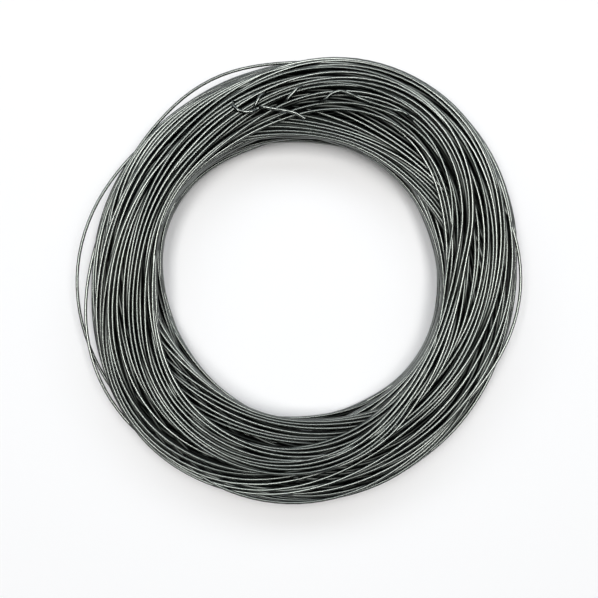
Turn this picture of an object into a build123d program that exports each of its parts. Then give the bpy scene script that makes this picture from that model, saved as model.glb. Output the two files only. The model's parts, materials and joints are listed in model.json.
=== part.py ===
from build123d import *
from math import cos, radians
import os

# A coil of aluminium wire, lying flat on the floor with its axis along +Z. Lengths are in millimetres.
# One wire makes the whole coil, so it is one solid ring: a round bore, a domed upper end on which the turns of the
# last layer show as ridges, a rounded flank, and an underside pressed flat on which turns lie in bands. The turns
# were laid as ovals, so the outside is an oval too, and the bundle is wider at two opposite sides than between.

# Driving dimensions
outer_diameter = 230.0     # mean of the oval
bundle_width = 43.0        # from the bore to the outside, on average
coil_height = 32.0
wire_diameter = 1.6

# Outline of the outside, as shares of its radius, each with the angle of its crest in degrees from +X
lean_share, lean_angle = 0.008, 5
oval_share, oval_angle = 0.034, 55
corner_share, corner_angle = 0.009, 54

# Section of the bundle of turns
bore_wall_length = 18.0    # straight part of the bore wall, along the axis
bore_foot_height = 4.0     # bevel between the bore wall and the underside
bore_foot_width = 4.4
flank_height = 14.0        # height at which the coil is widest
flank_foot_width = 8.0     # how far the underside draws back from the widest part
crest_share = 0.45         # where the top is highest, on the way from the bore to the flank
flank_shares = [0, 0.3, 0.65, 1]   # corners of the flank on its way round to the underside

# Turns that show on the ends
turn_pitch = 3.0           # spacing of the turns on top, which lie loosely side by side
band_pitch = 5.3           # spacing of the bands of turns on the underside
groove_depth = 1.2         # how far the gap between two turns can be seen into

outer_radius = outer_diameter / 2
bore_radius = outer_radius - bundle_width
crest_radius = bore_radius + crest_share * bundle_width
bore_wall_top = bore_foot_height + bore_wall_length
underside_inner = bore_radius + bore_foot_width
underside_outer = outer_radius - flank_foot_width
overrun = wire_diameter    # how far the bundle is drawn into the core and the floor that shape it


def quarter(center, along_radius, along_height, start_angle):
    """A quarter of an ellipse in the section, run clockwise."""
    return EllipticalCenterArc(center, along_radius, along_height, start_angle, arc_size=-90)


def groove_floor(curve, place):
    """The floor of the gap at a place along a curve, which has the outside of the coil on its left."""
    outward = (curve % place).rotate(Axis.Z, 90)
    return curve @ place - groove_depth * outward


def ridges(curve):
    """Corners of the turns that lie along a curve, each turn a ridge between two gaps."""
    turns = round(curve.length / turn_pitch)
    corners = []
    for turn in range(1, turns):
        corners += [groove_floor(curve, turn / turns), curve @ ((turn + 1 / 2) / turns)]
    return corners


def bands(curve):
    """Corners of the bands of turns that lie along a curve, with a gap one wire wide between them."""
    count = round(curve.length / band_pitch)
    lip = wire_diameter / 2 / curve.length
    corners = []
    for band in range(1, count):
        gap = band / count
        corners += [curve @ (gap - lip), groove_floor(curve, gap), curve @ (gap + lip)]
    return corners


def past(start, end):
    """The point that lies past the end of a line by the overrun."""
    return end + (end - start).normalized() * overrun


# The section is drawn as (radius, height), clockwise round the bundle from its hidden corner at the bore
top_rise = quarter((crest_radius, bore_wall_top), crest_radius - bore_radius, coil_height - bore_wall_top, 180)
top_fall = quarter((crest_radius, flank_height), outer_radius - crest_radius, coil_height - flank_height, 90)
flank = quarter((underside_outer, flank_height), flank_foot_width, flank_height, 0)
flank_corners = [flank @ share for share in flank_shares]
top_corners = ridges(Wire([top_rise, top_fall]))
bore_lip = past(top_corners[0], Vector(bore_radius, bore_wall_top))
flank_foot = past(*flank_corners[-2:])
hidden_corner = Vector(bore_lip.X, flank_foot.Y)
section = [hidden_corner, bore_lip, *top_corners, *flank_corners[:-1], flank_foot]


def outline(angle):
    """Radius of the outside at an angle round the coil."""
    lobes = [(1, lean_share, lean_angle), (2, oval_share, oval_angle), (3, corner_share, corner_angle)]
    return outer_radius * (1 + sum(share * cos(count * radians(angle - crest)) for count, share, crest in lobes))


def section_at(angle):
    """The section at an angle round the coil, as wide as the bundle is there."""
    stretch = (outline(angle) - bore_radius) / bundle_width
    corners = [(bore_radius + (corner.X - bore_radius) * stretch, corner.Y) for corner in section]
    return Rot(0, 0, angle) * (Plane.XZ * make_face(Polyline(*corners, close=True)))


# The bundle is drawn in two halves, through a section every few degrees
SECTION_STEP = 15
halves = [
    loft([section_at(start + step) for step in range(0, 181, SECTION_STEP)])
    for start in (0, 180)
]

# The core that it was wound on, which leaves the bore, and the floor that it lies on are taken away from it
underside = Line((underside_outer, 0), (underside_inner, 0))
core_and_floor = make_face(
    Polyline(
        (0, -coil_height),
        (outer_diameter, -coil_height),
        (outer_diameter, 0),
        *bands(underside),
        underside @ 1,
        (bore_radius, bore_foot_height),
        (bore_radius, 2 * coil_height),
        (0, 2 * coil_height),
        close=True,
    )
)
wire_coil = halves[0] + halves[1] - revolve(Plane.XZ * core_and_floor, axis=Axis.Z)

os.makedirs("parts", exist_ok=True)
export_step(wire_coil, "parts/wire_coil.step")
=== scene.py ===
# %% [markdown]
# # A coil of aluminium wire
# The object is one long wire, wound loosely into a flat ring and tied with its own end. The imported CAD
# model is a solid ring that holds its size, bore and weight. This script lays the real wire inside that
# ring, turn upon turn, and gives it its finish. Everything is in metres, with the coil's axis along +Z.

# %% The frame
import json
import math
import bpy
import numpy as np
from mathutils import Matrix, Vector


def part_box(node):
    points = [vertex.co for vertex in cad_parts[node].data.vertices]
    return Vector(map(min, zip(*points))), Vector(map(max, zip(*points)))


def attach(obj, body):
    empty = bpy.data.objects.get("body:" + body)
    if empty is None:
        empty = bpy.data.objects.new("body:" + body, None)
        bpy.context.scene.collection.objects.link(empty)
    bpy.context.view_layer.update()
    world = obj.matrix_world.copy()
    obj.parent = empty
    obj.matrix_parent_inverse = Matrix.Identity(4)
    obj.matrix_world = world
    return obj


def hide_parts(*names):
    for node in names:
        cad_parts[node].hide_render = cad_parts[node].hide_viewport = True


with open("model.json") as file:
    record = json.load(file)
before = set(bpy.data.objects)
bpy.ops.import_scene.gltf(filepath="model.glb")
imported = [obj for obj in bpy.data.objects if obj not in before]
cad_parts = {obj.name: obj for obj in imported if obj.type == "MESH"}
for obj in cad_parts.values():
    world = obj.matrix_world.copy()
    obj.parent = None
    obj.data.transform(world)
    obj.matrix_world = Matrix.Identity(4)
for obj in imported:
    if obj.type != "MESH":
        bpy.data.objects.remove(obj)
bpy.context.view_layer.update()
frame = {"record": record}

# %% [markdown]
# ## Sizes
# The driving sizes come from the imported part: its box gives the height and the mean radius of the oval
# outside, and its bore mount gives the bore. The gauge of the wire is the one size that sets the
# photograph's scale.

# %% Sizes read from the frame
low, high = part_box("wire_coil")
outer_radius = (high[0] - low[0] + high[1] - low[1]) / 4
coil_height = high[2] - low[2]
bore = next(mount for mount in frame["record"]["mounts"] if mount["kind"] == "bore")
bore_radius = bore["dims"]["r_mm"] / 1000
bundle_width = outer_radius - bore_radius
wire_diameter = 0.0016
half_wire = wire_diameter / 2
print(f"outside {outer_radius:.4f}, bore {bore_radius:.4f}, height {coil_height:.4f}")

# %% [markdown]
# ## The camera
# The photograph looks straight down. The bore wall shows a little more at the top of the picture than at
# the bottom, so the camera stands over a point just below the coil's centre. Its distance comes from how
# much of the wall shows, and the lens from the coil's size in the picture.

# %% Camera over the coil
PICTURE = 598                                  # pixels to a side
SENSOR = 36                                    # millimetres
camera_height = 0.520
camera_offset = -0.0108
focal_pixels = 977

camera_data = bpy.data.cameras.new("overhead")
camera_data.sensor_width = SENSOR
camera_data.lens = SENSOR * focal_pixels / PICTURE
camera = bpy.data.objects.new("overhead", camera_data)
camera.location = (0, camera_offset, camera_height)
bpy.context.scene.collection.objects.link(camera)
bpy.context.scene.camera = camera
print(f"lens {camera_data.lens:.1f} mm at {camera_height} m")

# %% [markdown]
# ## Places along the wire
# A wire this long is easiest to handle as rows of numbers, one number for each point along it. Every turn
# has the same number of points, so points with the same place in their turn lie at the same angle, and it
# is easy to find out which wires meet there.

# %% Points along the wire
TURNS = 314
STEPS = 120                                    # points to a turn
END_ANGLE = 57                                 # where the last turn ends, in degrees from +X
total = TURNS * STEPS
turns_laid = np.arange(total) / STEPS          # turns from the wire's first end
angle = 2 * math.pi * turns_laid + math.radians(END_ANGLE)
print(f"{TURNS} turns of {STEPS} points")

# %% [markdown]
# ## How the wire wanders
# A coil like this is laid by hand or dropped turn by turn round a former, so each turn is a little off
# centre, a little oval or a little three-cornered. Neighbouring turns share most of their shape, so they
# run side by side in bunches. Drawing each turn by itself would lose that. Here the shape of a turn is a
# few lobes whose strength drifts along the wire, from one seed: a slow drift makes the bunches, and a
# quick, weaker one makes single turns cross their neighbours.

# %% Drift along the wire
SEED = 27
rng = np.random.default_rng(SEED)
# Lobes to a turn, and the strength of each in half widths of the bundle
bunch_lobes = {1: 0.16, 2: 0.18, 3: 0.07, 4: 0.03}
single_lobes = {1: 0.04, 2: 0.045, 3: 0.03}


def drift(turns_between):
    """A smooth random number along the wire, of about unit size, that changes every few turns."""
    knots = np.arange(-2 * turns_between, TURNS + 3 * turns_between, turns_between)
    rough = np.interp(turns_laid, knots, rng.normal(size=len(knots)))
    window = np.hanning(int(turns_between * STEPS) | 1)
    padded = np.pad(rough, len(window) // 2, mode="edge")
    smooth = np.convolve(padded, window / window.sum(), mode="valid")
    return smooth / smooth.std()


def wander(lobes, turns_between):
    """The sum of lobes that drift along the wire."""
    return sum(
        strength * (drift(turns_between) * np.cos(lobe * angle)
                    + drift(turns_between) * np.sin(lobe * angle))
        for lobe, strength in lobes.items())


bunches = wander(bunch_lobes, turns_between=7)
single_turns = wander(single_lobes, turns_between=2)
print(f"bunches sway up to {abs(bunches).max():.2f} half widths")
print(f"single turns sway up to {abs(single_turns).max():.2f} half widths")

# %% [markdown]
# ## The traverse
# While the ring fills, the laying hand moves slowly in and out between the bore and the outside, so each
# pass leaves one loose layer. The passes are not equal, so their lengths are drawn between two limits.

# %% Passes in and out
shortest_pass, longest_pass = 18, 24           # turns
most_passes = TURNS // 8                       # more than the wire has room for
pass_reach = 0.8                               # in half widths of the bundle
passes = np.cumsum(rng.uniform(shortest_pass, longest_pass, size=most_passes))
turning_side = np.where(np.arange(len(passes)) % 2, 1.0, -1.0)
traverse = pass_reach * np.interp(turns_laid, passes, turning_side)
print(f"passes {int(np.sum(passes < TURNS))}")

# %% [markdown]
# ## The last turns
# The turns on top are the last ones laid, and they are the ones that the photograph shows. They run as
# one wide oval bunch that leans to the right: it touches the bore at the upper left and lower right, and
# the flank at the upper right and lower left. The turns just below them lean the other way. Both layers
# are calmer than the rest, and the last pass is narrower, which leaves the edges to the turns below.
# Fading these changes in over some turns keeps the wire free of kinks.

# %% Lean of the top layers
late = 70                                      # turns before the end, where the last two layers begin
calm = 0.5                                     # share of their sway that these layers lose
narrowing = 0.3                                # share of its width that the last pass loses


def lean(share, crest):
    """An oval turn that reaches out by a share of the half width at the crest angle and opposite."""
    return share * np.cos(2 * (angle - math.radians(crest)))


def fade(first, last):
    """From 0 to 1 between two places counted in turns before the end of the wire."""
    return np.clip((turns_laid - (TURNS - first)) / (first - last), 0, 1)


below = fade(first=late, last=58)
top = fade(first=36, last=26)
shape = bunches * (1 - calm * below)
shape += below * (1 - top) * lean(share=0.3, crest=150)
shape += top * lean(share=0.42, crest=63)
across = traverse * (1 - narrowing * top) + shape + single_turns
print(f"top layer reaches {across[top > 0].min():.2f} to {across[top > 0].max():.2f} half widths")

# %% [markdown]
# ## Section of the bundle
# The turns fill the same section as the CAD solid: a straight bore wall, a domed top, a flank that is
# widest below the middle, and a rounded foot. The dome is lower than the solid by one more wire, because
# the tied end lies on top, and by a little headroom, because that end swings up between the places that
# are given for it.

# %% Underside and dome
foot_width, foot_height = 0.0044, 0.004        # bevel at the bore
flank_width, flank_height = 0.008, 0.014       # how far the foot draws back, and where the flank is widest
bore_wall_top = 0.022
crest_share = 0.45                             # where the dome is highest, from bore to flank
headroom = 0.0003
samples = 400                                  # across the section
dome_height = coil_height - wire_diameter - headroom


def floor_at(depth):
    """Underside of the bundle at a distance from the bore."""
    from_bore = np.clip(1 - depth / foot_width, 0, 1)
    from_flank = np.clip((depth - bundle_width + flank_width) / flank_width, 0, 1)
    return foot_height * from_bore + flank_height * (1 - np.sqrt(1 - from_flank ** 2))


def dome_at(depth):
    """Upper side of the bundle at a distance from the bore."""
    crest = crest_share * bundle_width
    before = np.sqrt(1 - np.clip(1 - depth / crest, 0, 1) ** 2)
    beyond = np.sqrt(1 - np.clip((depth - crest) / (bundle_width - crest), 0, 1) ** 2)
    return np.where(
        depth < crest,
        bore_wall_top + (dome_height - bore_wall_top) * before,
        flank_height + (dome_height - flank_height) * beyond)


depths = np.linspace(half_wire, bundle_width - half_wire, samples)
print(f"section {bundle_width:.4f} wide, dome up to {dome_at(depths).max():.4f}")

# %% [markdown]
# The number of turns at each distance from the bore follows the height of the section there, so that the
# ring fills evenly. Ranking all points of the wire and spreading the ranks over the section's area does
# that, and keeps the bunches in order.

# %% Fill the section
filled = np.cumsum(np.maximum(dome_at(depths) - floor_at(depths) - wire_diameter, 0))
rank = np.empty(total)
rank[np.argsort(across)] = (np.arange(total) + 0.5) / total
laid_depth = np.interp(rank, filled / filled[-1], depths)
section_area = bundle_width * np.mean(dome_at(depths) - floor_at(depths))
print(f"wire fills {TURNS * math.pi * half_wire ** 2 / section_area:.0%} of the section")

# %% [markdown]
# ## The outline
# The ring is not round: it leans towards one corner of the picture, and the bore leans the other way.
# Each edge is a circle with a few lobes, given as a share of its radius and the angle of the lobe's
# crest. At the left the bundle draws in behind two stray turns, so a shallow hollow is taken from the
# outer edge there.

# %% Edges of the bundle
outer_lobes = {1: (0.0185, -21), 2: (0.035, 56), 3: (0.009, 54), 4: (0.003, -42)}
bore_lobes = {1: (0.012, 31), 2: (0.024, -40), 3: (0.009, 33), 4: (0.010, -28)}
edge_slack = 0.0017                            # room between the mean outline and the outermost wires
hollow_depth = 0.0035
hollow_middle, hollow_half = 182, 50           # degrees


def edge(radius, edge_lobes):
    """The edge's distance from the axis all along the wire."""
    return radius * (1 + sum(
        share * np.cos(lobe * (angle - math.radians(crest)))
        for lobe, (share, crest) in edge_lobes.items()))


def hump(offset):
    """A smooth hump, 1 high in its middle, that ends at -1 and 1."""
    return np.cos(np.clip(offset, -1, 1) * math.pi / 2) ** 2


inner_edge = edge(bore_radius, bore_lobes)
from_hollow = (np.degrees(angle) - hollow_middle + 180) % 360 - 180
outer_edge = edge(outer_radius - edge_slack, outer_lobes) - hollow_depth * hump(from_hollow / hollow_half)
widening = (outer_edge - inner_edge) / bundle_width
laid_reach = inner_edge + laid_depth * widening
print(f"bore {inner_edge.min():.4f} to {inner_edge.max():.4f}")
print(f"outside {outer_edge.min():.4f} to {outer_edge.max():.4f}")

# %% [markdown]
# ## Stray turns
# A few of the late turns spring out of the bundle for part of their way: two at the left, where the floor
# shows between them and the rest, and one each at the upper left, the right and the bottom. Each is given
# by its middle and half angle in degrees and by how far it passes the outline, or stays inside it where
# that is negative. It is a smooth hump added to the turn that already keeps nearest to the outline there.
# A stiff wire that is held at both ends stays up in the air, so the hump also says how high it stands.

# %% Humps for the stray turns
stray_height = 0.026
strays = [(178, 48, 0.0066), (198, 40, 0.0030), (117, 36, 0.0016), (355, 40, 0.0011), (267, 42, -0.0008)]
tied_turns = 2                                 # turns that lead to the tie and can't stray
late_turns = list(range(TURNS - late, TURNS - tied_turns))
faint = 0.01                                   # rise below which a hump is taken to be over
outer_limit = outer_edge.copy()
hold_up = np.zeros(total)


def bump(turn, middle, half_angle):
    """Rises from 0 to 1 and falls again on one turn, around an angle of the picture."""
    at = turn + ((middle - END_ANGLE) % 360) / 360
    return hump((turns_laid - at) * 360 / half_angle)


def outermost(middle, half_angle):
    """The late turn that keeps nearest to the outline around an angle."""
    inside = outer_edge - laid_reach
    return min(late_turns, key=lambda choice: inside[bump(choice, middle, half_angle) > faint].max())


for middle, half_angle, out in strays:
    turn = outermost(middle, half_angle)
    late_turns.remove(turn)
    rise = bump(turn, middle, half_angle)
    laid_reach += rise * (outer_edge + out - half_wire - laid_reach)
    outer_limit += rise * out
    hold_up = np.maximum(hold_up, rise * stray_height)
    print(f"turn {turn} strays at {middle} degrees")
print(f"{len(strays)} stray turns, out to {laid_reach.max() + half_wire:.4f}")

# %% [markdown]
# The last turn has to come up to the place where it is tied, so its end is drawn over to that distance
# from the axis.

# %% Lead the last turn to the tie
end_reach = 0.0980
lead = 0.6                                     # turns
laid_reach += fade(first=lead, last=0) ** 2 * (end_reach - laid_reach[-1])
print(f"last turn ends at {laid_reach[-1]:.4f}")

# %% [markdown]
# ## Making room
# So far the turns pass through each other. A rigid-body simulation of so long a wire would take very
# long, so they are parted here by a few hundred small steps. The first thing that a step needs is the
# pairs of points that lie near each other. At each angle, the points of all turns are sorted by their
# distance from the axis, and each is compared with the next ones until they are too far away.

# %% Pairs of near points
index = np.arange(total)
near = 1.5 * wire_diameter


def neighbours(reach, height):
    """Pairs of points of the wire, at the same angle, that are near each other."""
    by_turn = (TURNS, STEPS)
    order = np.argsort(reach.reshape(by_turn), axis=0)
    reach, height, number = (
        np.take_along_axis(values.reshape(by_turn), order, 0) for values in (reach, height, index))
    first, second = [], []
    for apart in range(1, TURNS):
        close = reach[apart:] - reach[:-apart] < near
        if not close.any():
            break
        close &= abs(height[apart:] - height[:-apart]) < near
        first.append(number[:-apart][close])
        second.append(number[apart:][close])
    return np.concatenate(first), np.concatenate(second)


start_height = floor_at(laid_depth) + half_wire
start_height += (dome_at(laid_depth) - half_wire - start_height) * turns_laid / TURNS
print(f"{len(neighbours(laid_reach, start_height)[0])} near pairs at the start")

# %% [markdown]
# Two wires that are nearer than a wire's thickness push each other apart, and the last turns keep a
# little more room than that, because nothing presses on them. Where two wires cross, the one laid later
# goes over the other. Whether they cross is read off the laid path, a few points behind and ahead.

# %% Push the near points apart
loose = 0.3                                    # extra room for the last turns, in wire thicknesses
room = wire_diameter * (1 + loose * fade(first=46, last=40))
look = 5                                       # points
ahead = laid_reach[np.minimum(index + look, total - 1)]
behind = laid_reach[np.maximum(index - look, 0)]
push_share = 0.6                               # how much of an overlap one step takes out
push_limit = 0.3 * wire_diameter
lift_limit = 0.15 * wire_diameter
tiny = 1e-9                                    # keeps points that fall together from dividing by zero


def meetings(reach, height):
    """Near pairs, with whether they cross and which way is up for the first of the two."""
    a, b = neighbours(reach, height)
    crossing = (ahead[a] - ahead[b]) * (behind[a] - behind[b]) < 0
    return a, b, crossing, np.where(a > b, 1.0, -1.0)


def push_apart(reach, height, pairs):
    """One step of parting for the given pairs, which changes both rows of numbers."""
    a, b, crossing, upward = pairs
    dr, dz = reach[a] - reach[b], height[a] - height[b]
    apart = np.hypot(dr, dz) + tiny
    overlap = np.maximum(room[np.minimum(a, b)] - apart, 0) / 2
    lift = np.maximum(np.sqrt(np.maximum(wire_diameter ** 2 - dr ** 2, 0)) - upward * dz, 0) / 2
    crossing = crossing & (abs(dr) < wire_diameter)
    push_r = np.where(crossing, 0, overlap * dr / apart)
    push_z = np.where(crossing, np.minimum(lift, lift_limit) * upward, overlap * dz / apart)
    for values, push in ((reach, push_r), (height, push_z)):
        moved = np.bincount(a, push, total) - np.bincount(b, push, total)
        values += push_share * np.clip(moved, -push_limit, push_limit)


print(f"{np.mean(meetings(laid_reach, start_height)[2]):.0%} of the near pairs cross")

# %% [markdown]
# A wire is stiff, so it can't take the sharp bends that the pushing leaves. A bent strip springs back
# with a force that follows the fourth difference of its shape, so taking a part of that away straightens
# the wire without pulling it tight. Doing so over several spans takes out short and longer bends.

# %% Stiffness of the wire
spans = (1, 2, 4, 7)                           # points


def unbend(values):
    """Takes out bends along the wire that are shorter than about four times each span."""
    for span in spans:
        padded = np.pad(values, 2 * span, mode="edge")
        before, after = padded[span:-3 * span], padded[3 * span:-span]
        bend = padded[:-4 * span] - 4 * before + 6 * values - 4 * after + padded[4 * span:]
        values = values - bend / 16
    return values


kink = (index == total // 2).astype(float)
print(f"one step leaves {unbend(kink).max():.0%} of a kink")

# %% [markdown]
# Each round drops the wire a little, pulls it back towards its laid path, parts it and straightens it,
# and then keeps it inside the section. The last turns may lie up to one wire above the dome, so that the
# top isn't smooth, but never above the dome's highest place.

# %% Part the turns
rounds = 240
new_pairs_every = 5                            # rounds
fall = 0.000001                                # metres in a round
pull = 0.005                                   # share of the way back in a round
spare = fade(first=44, last=34) * wire_diameter


def make_room():
    """Distance from the axis and height of every point once the turns are parted."""
    reach, height = laid_reach.copy(), start_height.copy()
    for count in range(rounds):
        if count % new_pairs_every == 0:
            pairs = meetings(reach, height)
        height -= fall
        reach += pull * (laid_reach - reach)
        push_apart(reach, height, pairs)
        reach = laid_reach + unbend(reach - laid_reach)
        height = unbend(height)
        reach = np.clip(reach, inner_edge + half_wire, outer_limit - half_wire)
        depth = (reach - inner_edge) / widening
        lowest = np.maximum(floor_at(depth) + half_wire, hold_up)
        highest = np.minimum(dome_at(depth) - half_wire + spare, dome_height - half_wire)
        height = np.clip(height, lowest, np.maximum(highest, lowest))
    a, b = pairs[:2]
    overlap = np.maximum(1 - np.hypot(reach[a] - reach[b], height[a] - height[b]) / wire_diameter, 0)
    print(f"{len(a)} near pairs, {np.mean(overlap > 0.2):.1%} of them overlap by over a fifth of the wire")
    return laid_reach + unbend(reach - laid_reach), np.maximum(unbend(height), half_wire)


wire_reach, wire_height = make_room()
shift = np.sqrt(np.mean((wire_reach - laid_reach) ** 2))
print(f"top {wire_height.max() + half_wire:.4f}, moved {shift:.5f}")

# %% [markdown]
# ## Open and covered turns
# The finish paints shade on the turns that other turns cover, so that the gaps between the open turns
# look dark; it is painted shade, not a colour of the wire. So the finish needs to know, for every point of
# the wire, how deep it lies under the nearest side of the bundle: the top, the underside, the flank or the
# bore. Looking at the other wires in the same column and row tells that directly, and it goes with the
# wire as an attribute.

# %% How open each point lies
beside = 0.8 * wire_diameter                   # how near a wire has to pass to cover another
shallow, deep = 0.25 * wire_diameter, 0.9 * wire_diameter
blend = np.hanning(9)                          # evens out the change over a few points of the wire


def openness():
    """1 where a point lies no deeper than the shallow depth under its nearest side, 0 past the deep one."""
    depth = np.empty((TURNS, STEPS))
    columns = zip(wire_reach.reshape(TURNS, STEPS).T, wire_height.reshape(TURNS, STEPS).T)
    for step, (reach, height) in enumerate(columns):
        outward, upward = reach - reach[:, None], height - height[:, None]
        in_column, in_row = abs(outward) < beside, abs(upward) < beside
        covers = [(upward, in_column), (-upward, in_column), (outward, in_row), (-outward, in_row)]
        depth[:, step] = np.min([np.where(where, past, 0).max(axis=1) for past, where in covers], axis=0)
    opened = np.clip((deep - depth.ravel()) / (deep - shallow), 0, 1)
    return np.convolve(opened, blend / blend.sum(), mode="same")


# 1 on open turns, falling to 0 on covered turns, where the finish paints shade
open_share = openness()
print(f"{np.mean(open_share > 0.5):.0%} of the wire lies open")

# %% [markdown]
# ## The drawn wire
# A round wire is a circle swept along a path, which Geometry Nodes do with Curve to Mesh. One tree with
# inputs for the path, the wire's radius and its number of sides draws every length of wire.

# %% Inputs of the tree that draws a wire
draw_wire = bpy.data.node_groups.new("draw_wire", "GeometryNodeTree")
add, link = draw_wire.nodes.new, draw_wire.links.new
inputs = {
    "Path": "Geometry", "Start": "Float", "Wire Radius": "Float", "Sides": "Int", "Material": "Material"}
for name, kind in inputs.items():
    draw_wire.interface.new_socket(name, in_out="INPUT", socket_type="NodeSocket" + kind)
draw_wire.interface.new_socket("Wire", in_out="OUTPUT", socket_type="NodeSocketGeometry")
given, made = add("NodeGroupInput"), add("NodeGroupOutput")
print("draw_wire takes", ", ".join(inputs))

# %% [markdown]
# The tree also keeps two attributes for the finish: how far along the whole wire a point is, and where it
# is round the wire. They are stored on the path and on the circle, and the sweep hands both on to the
# mesh.

# %% Attributes that the finish reads
def store(geometry, name, kind, value):
    """The geometry with a value stored on its points under a name."""
    node = add("GeometryNodeStoreNamedAttribute")
    node.data_type, node.domain = kind, "POINT"
    node.inputs["Name"].default_value = name
    link(geometry, node.inputs["Geometry"])
    link(value, node.inputs["Value"])
    return node.outputs["Geometry"]


measured = add("ShaderNodeMath")               # a Math node adds unless it is told otherwise
link(given.outputs["Start"], measured.inputs[0])
link(add("GeometryNodeSplineParameter").outputs["Length"], measured.inputs[1])
measured_path = store(given.outputs["Path"], "along", "FLOAT", measured.outputs["Value"])

circle = add("GeometryNodeCurvePrimitiveCircle")
link(given.outputs["Sides"], circle.inputs["Resolution"])
link(given.outputs["Wire Radius"], circle.inputs["Radius"])
position = add("GeometryNodeInputPosition")
wire_section = store(circle.outputs["Curve"], "round", "FLOAT_VECTOR", position.outputs["Position"])
print("the wire carries along and round")

# %% [markdown]
# The sweep closes both ends of the wire. Smooth shading makes its few flat sides look round, and the tree
# ends with a real mesh in its material.

# %% Sweep the section along the path
sweep = add("GeometryNodeCurveToMesh")
sweep.inputs["Fill Caps"].default_value = True
link(measured_path, sweep.inputs["Curve"])
link(wire_section, sweep.inputs["Profile Curve"])
swept = sweep.outputs["Mesh"]
for kind in ("GeometryNodeSetShadeSmooth", "GeometryNodeRealizeInstances", "GeometryNodeSetMaterial"):
    node = add(kind)
    link(swept, node.inputs["Geometry"])
    swept = node.outputs["Geometry"]
link(given.outputs["Material"], node.inputs["Material"])
link(swept, made.inputs["Wire"])
print("draw_wire has", len(draw_wire.nodes), "nodes")

# %% [markdown]
# ## Sums of shader sockets
# A finish is easier to read as a sum than as a list of nodes. This class wraps one socket of the shader
# tree. The operators add Math nodes, and every other node comes from one method.

# %% Sockets that add and multiply
class Signal:
    """A socket of a shader tree, which joins with others or with plain numbers."""

    def __init__(self, tree, output=None):
        self.tree, self.output = tree, output

    def node(self, kind, settings, values, output=0):
        """A new node: first its settings, then the values or links of its sockets."""
        made_node = self.tree.nodes.new(kind)
        for name, value in settings.items():
            setattr(made_node, name, value)
        for name, value in values.items():
            if isinstance(value, Signal):
                self.tree.links.new(value.output, made_node.inputs[name])
            else:
                made_node.inputs[name].default_value = value
        return Signal(self.tree, made_node.outputs[output])

    def attribute(self, name, output="Fac"):
        """An attribute that the mesh carries."""
        return self.node("ShaderNodeAttribute", {"attribute_name": name}, {}, output)

    def mix(self, share, without, full):
        """A colour on the way from one to another, through the colour sockets 6, 7 and 2 of a Mix node."""
        return self.node("ShaderNodeMix", {"data_type": "RGBA"}, {0: share, 6: without, 7: full}, 2)

    def maths(self, operation, first, second):
        """A Math node on two values."""
        return self.node("ShaderNodeMath", {"operation": operation}, {0: first, 1: second})

    def __add__(self, other):
        return self.maths("ADD", self, other)

    def __sub__(self, other):
        return self.maths("SUBTRACT", self, other)

    def __rsub__(self, other):
        return self.maths("SUBTRACT", other, self)

    def __mul__(self, other):
        return self.maths("MULTIPLY", self, other)

    __radd__, __rmul__ = __add__, __mul__


print("sockets take + - and *")

# %% [markdown]
# ## The finish
# The wire has been pulled through a die, which leaves fine lines along it. An image of such lines would
# have to be wrapped round the whole wire. Noise needs no image: its coordinates change quickly round the
# wire and slowly along it, so that it is drawn out into lines.

# %% Lines that the die leaves
lines_round = 5                                # spots of noise to half a wire's width
lines_along = 9                                # spots of noise to a metre of wire
finish = bpy.data.materials.new("drawn_wire")
finish.use_nodes = True
wire = Signal(finish.node_tree)
along = wire.attribute("along")
around = wire.attribute("round", "Vector")
ring = wire.node(
    "ShaderNodeVectorMath", {"operation": "SCALE"}, {0: around, "Scale": lines_round / half_wire})
run = wire.node("ShaderNodeCombineXYZ", {}, {"Z": along * lines_along})
drawn = wire.node("ShaderNodeVectorMath", {"operation": "ADD"}, {0: ring, 1: run})
lines = wire.node("ShaderNodeTexNoise", {}, {"Vector": drawn, "Scale": 1.0, "Detail": 3.0}, "Fac")
print("drawn_wire has", len(finish.node_tree.nodes), "nodes with the lines")

# %% [markdown]
# The bare metal has dulled to a dark grey with a slight green tint, and some lengths are brighter than
# others. So the dullness is noise that depends only on the length of wire before a point. It is read from
# a few metres on, where the tied end falls on a bright length, as in the photograph.

# %% Bright and dull lengths
bright_end = 3.0
lengths = wire.node(
    "ShaderNodeTexNoise", {"noise_dimensions": "1D"},
    {"W": along + bright_end, "Scale": 2.2, "Detail": 4.0, "Roughness": 0.6}, "Fac")
dull = wire.node(
    "ShaderNodeMapRange", {"interpolation_type": "SMOOTHSTEP"},
    {"Value": lengths, "From Min": 0.3, "From Max": 0.7}, "Result")
tone = 1 - (0.6 * dull + 0.4 * lines)
print("drawn_wire has", len(finish.node_tree.nodes), "nodes with the dull lengths")

# %% [markdown]
# Where the wire is covered, its colour is painted near black as shade, and there it is rougher too.
# The lines also stand in slight relief, which breaks up the highlight along the wire.

# %% Colour, roughness and relief
DULL_METAL = (0.098, 0.11, 0.105, 1)
BRIGHT_METAL = (0.243, 0.259, 0.247, 1)
# Painted shade: the near-black colour given to covered turns
PAINTED_SHADE = (0.012, 0.014, 0.013, 1)
line_depth = 0.00002
# 1 on open turns, 0 on covered turns, which get the painted shade and more roughness
unshaded = wire.attribute("open")
# Base Color goes over to the painted shade where a turn is covered
surface = {
    "Base Color": wire.mix(unshaded, PAINTED_SHADE, wire.mix(tone, DULL_METAL, BRIGHT_METAL)),
    "Roughness": 0.17 + 0.06 * dull + 0.04 * lines + 0.15 * (1 - unshaded),
    "Normal": wire.node("ShaderNodeBump", {}, {"Strength": 0.12, "Distance": line_depth, "Height": lines}),
}
shader = finish.node_tree.nodes["Principled BSDF"]
for name, signal in surface.items():
    finish.node_tree.links.new(signal.output, shader.inputs[name])
shader.inputs["Metallic"].default_value = 1
print("drawn_wire has", len(finish.node_tree.nodes), "nodes")

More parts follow.
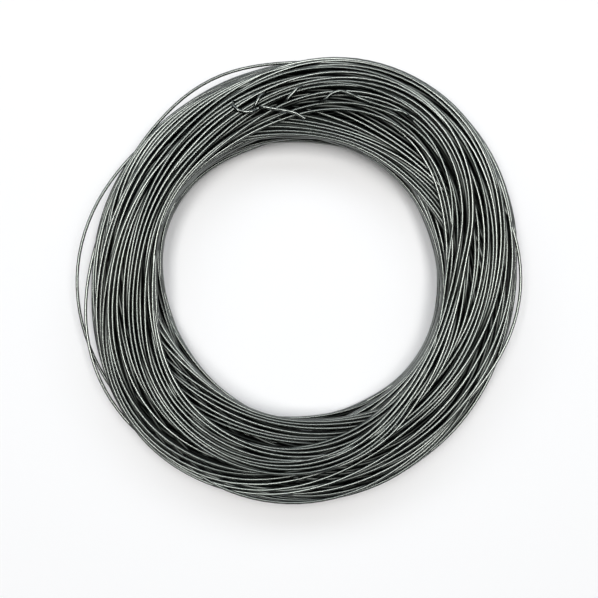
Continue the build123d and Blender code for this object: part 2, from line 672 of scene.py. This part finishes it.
# %% [markdown]
# ## From path to piece
# The tree runs as a modifier on a curve. Its inputs are set by their identifiers before it is first
# evaluated, and the result becomes a plain mesh, so that nothing of the curve is left. Each ring of the
# mesh then gets its share of openness, the piece hangs under the root body, and the CAD solid is hidden.

# %% Draw a length of wire
SIDES = 8


def sweep_mesh(name, path, start, sides):
    """A plain mesh of wire along curve data, which starts at a length along the whole wire."""
    carrier = bpy.data.objects.new(name + "_path", path)
    bpy.context.scene.collection.objects.link(carrier)
    modifier = carrier.modifiers.new("draw_wire", "NODES")
    modifier.node_group = draw_wire
    settings = {"Start": start, "Wire Radius": half_wire, "Sides": sides, "Material": finish}
    for item in draw_wire.interface.items_tree:
        if item.name in settings:
            modifier[item.identifier] = settings[item.name]
    evaluated = carrier.evaluated_get(bpy.context.evaluated_depsgraph_get())
    mesh = bpy.data.meshes.new_from_object(evaluated)
    mesh.name = name
    bpy.data.objects.remove(carrier)
    bpy.data.curves.remove(path)
    return mesh


def draw(name, path, start, opened, sides=SIDES):
    """A piece of wire along curve data, with how open each of its points lies."""
    mesh = sweep_mesh(name, path, start, sides)
    rings = np.broadcast_to(opened, len(mesh.vertices) // sides)
    # The open attribute tells the finish where to paint shade on covered turns
    mesh.attributes.new("open", "FLOAT", "POINT").data.foreach_set("value", np.repeat(rings, sides))
    piece = bpy.data.objects.new(name, mesh)
    bpy.context.scene.collection.objects.link(piece)
    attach(piece, "root")
    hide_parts("wire_coil")
    print(name, sum(len(face.vertices) - 2 for face in mesh.polygons), "triangles")


print(f"wire {wire_diameter * 1000:.1f} mm thick with {SIDES} sides")

# %% [markdown]
# ## The wire's stretches
# The whole wire is one path. It is drawn in five stretches of the same number of turns, so that no piece
# has too many faces, and each stretch starts where the last one ends.

# %% Draw the turns
PIECES = 5


def straight_steps(name, places):
    """Curve data that runs through many close points."""
    path = bpy.data.curves.new(name, "CURVE")
    path.dimensions = "3D"
    spline = path.splines.new("POLY")
    spline.points.add(len(places) - 1)
    spline.points.foreach_set("co", np.column_stack([places, np.ones(len(places))]).ravel())
    return path


points = np.column_stack([wire_reach * np.cos(angle), wire_reach * np.sin(angle), wire_height])
run_length = np.append(0, np.cumsum(np.linalg.norm(np.diff(points, axis=0), axis=1)))
cuts = np.linspace(0, total - 1, PIECES + 1).astype(int)
for number, (first, last) in enumerate(zip(cuts, cuts[1:]), start=1):
    name = f"winding_{number}"
    part = slice(first, last + 1)
    draw(name, straight_steps(name, points[part]), float(run_length[first]), open_share[part])
print(f"{run_length[-1]:.1f} m of wire")

# %% [markdown]
# ## The tied end
# Nothing but the wire's own end holds the coil. It leaves the top layer at the upper right, is wound
# three times round a few of the top turns, makes a small loop back and stops in a cut end. The route is
# given as places in the picture, each with its height over or under the top of the pile, in wire
# thicknesses. The pile's height is looked up at each place, so the end lies on the turns that are really
# there.

# %% Places of the tied end
FREE, OVER, SIDE, UNDER = 1.2, 0.5, -0.2, -2.2
# Column and row in the picture, and level: the way in, three dips under the turns, the loop, the cut end
route = [
    (405, 113, OVER), (392, 109, OVER), (376, 104, OVER), (359, 98, OVER), (348, 93, OVER), (340, 91, OVER),
    (332, 93.5, OVER), (324, 100, SIDE), (315, 102, UNDER), (307, 93, UNDER), (301, 87, SIDE),
    (292, 94, OVER), (285.5, 101, SIDE), (278, 104, UNDER), (270, 97, UNDER), (263, 94, SIDE),
    (257, 101.5, OVER), (253.5, 108.5, SIDE), (247, 111, UNDER), (239, 103, UNDER), (233, 103.5, SIDE),
    (236, 108.5, OVER), (244, 111.5, OVER), (252, 111.3, OVER), (259, 108, SIDE), (262, 107, OVER),
    (271, 108.3, FREE), (282, 110, FREE), (293, 112.3, FREE), (299.5, 115.2, FREE), (304.8, 118.6, FREE)]


def seen_at(column, row, at_height):
    """The point at a height that the camera shows at a place in the picture."""
    scale = (camera_height - at_height) / focal_pixels
    return (column - PICTURE / 2) * scale, camera_offset + (PICTURE / 2 - row) * scale


def pile_top(x, y):
    """Upper side of the highest turn at a place."""
    turned = (angle - math.atan2(y, x) + math.pi) % (2 * math.pi) - math.pi
    in_line = abs(turned) < 2 * math.pi / STEPS
    under = in_line & (abs(wire_reach - math.hypot(x, y)) < 2 * wire_diameter)
    return wire_height[under].max() + half_wire


def route_point(column, row, level):
    """A place of the route at its height over or under the pile, from a first guess near the top."""
    at_height = 0.9 * coil_height
    for _ in range(2):
        top_there = pile_top(*seen_at(column, row, at_height))
        at_height = min(top_there + level * wire_diameter, coil_height - half_wire - headroom)
    return (*seen_at(column, row, at_height), at_height)


tie = [tuple(points[-1])] + [route_point(*stop) for stop in route]
tie_levels = [OVER] + [level for column, row, level in route]
print(f"tie stands {max(stop[2] for stop in tie) + half_wire:.4f} high")

# %% [markdown]
# A Bezier curve with automatic handles passes through these places, as a springy wire would. Where the
# end dips under other turns the finish paints shade on it, and everywhere else it is as bright as the open
# turns.
# It has more sides than the turns, because it bends sharply.

# %% Draw the tied end
TIE_SIDES = 12
tie_path = bpy.data.curves.new("tied_end", "CURVE")
tie_path.dimensions = "3D"
tie_path.resolution_u = 8
tie_spline = tie_path.splines.new("BEZIER")
tie_spline.bezier_points.add(len(tie) - 1)
for knot, stop in zip(tie_spline.bezier_points, tie):
    knot.co = stop
    knot.handle_left_type = knot.handle_right_type = "AUTO"
tie_rings = 1 + (len(tie) - 1) * tie_path.resolution_u
# 0 where the end dips under the turns and gets painted shade, 1 elsewhere
knot_open = np.clip(np.array(tie_levels) - UNDER, 0, 1)
tie_open = np.interp(np.linspace(0, len(tie) - 1, tie_rings), np.arange(len(tie)), knot_open)
draw("tied_end", tie_path, float(run_length[-1]), tie_open, sides=TIE_SIDES)

# %% [markdown]
# ## The floor
# The coil lies on a plain white sheet that fills the picture. Its own colour makes the background white,
# so it can still take the coil's shadow. It only sets the stage and isn't part of the object.

# %% Floor
FLOOR_SIZE = 6
FLOOR_WHITE = (0.95, 0.955, 0.98, 1)
bpy.ops.mesh.primitive_plane_add(size=FLOOR_SIZE)
floor = bpy.context.object
floor.name = "floor"
floor_finish = bpy.data.materials.new("white_floor")
floor_finish.use_nodes = True
floor_shader = floor_finish.node_tree.nodes["Principled BSDF"]
floor_shader.inputs["Base Color"].default_value = FLOOR_WHITE
floor_shader.inputs["Roughness"].default_value = 1
floor_shader.inputs["Specular IOR Level"].default_value = 0
floor.data.materials.append(floor_finish)
print(f"floor {FLOOR_SIZE} m to a side")

# %% [markdown]
# ## The light
# The photograph's light can be read off the wire, because a round wire mirrors what stands across it. The
# turns that run up and down the picture are the brightest, with one thin warm line each, so two bright
# lamps hang high over the coil, close together, at the left and right of the camera. The turns that run
# across the picture show a dimmer, cooler line, and the shadow falls down the picture, so a long, weak
# lamp stands past the top of the picture. A lamp that grows at the same power gets dimmer, so each one is
# set by how bright its face looks.

# %% Lamps
WARM = (1.0, 0.985, 0.95)
COOL = (0.94, 1.0, 1.05)
NIGHT = (0.015, 0.015, 0.016, 1)


def softbox(name, place, size, level, colour):
    """A lamp that faces the coil, so tall and so wide, whose level is how bright its face looks."""
    tall, wide = size
    data = bpy.data.lights.new(name, "AREA")
    data.shape, data.size, data.size_y = "RECTANGLE", tall, wide
    data.energy = level * math.pi * tall * wide
    data.color = colour
    lamp = bpy.data.objects.new(name, data)
    lamp.location = place
    lamp.rotation_euler = Vector(place).to_track_quat("Z", "X").to_euler()
    bpy.context.scene.collection.objects.link(lamp)
    print(f"{name} at {place}, {data.energy:.1f} W")


softbox("left_softbox", place=(-0.47, 0.1, 2.1), size=(0.5, 1.15), level=11.2, colour=WARM)
softbox("right_softbox", place=(0.47, 0.1, 2.1), size=(0.5, 1.15), level=11.2, colour=WARM)
softbox("top_softbox", place=(0, 1.6, 1.92), size=(1.1, 6.0), level=1.6, colour=COOL)
world = bpy.data.worlds.new("studio")
bpy.context.scene.world = world
world.use_nodes = True
world.node_tree.nodes["Background"].inputs["Color"].default_value = NIGHT
bpy.context.scene.view_settings.view_transform = "Standard"
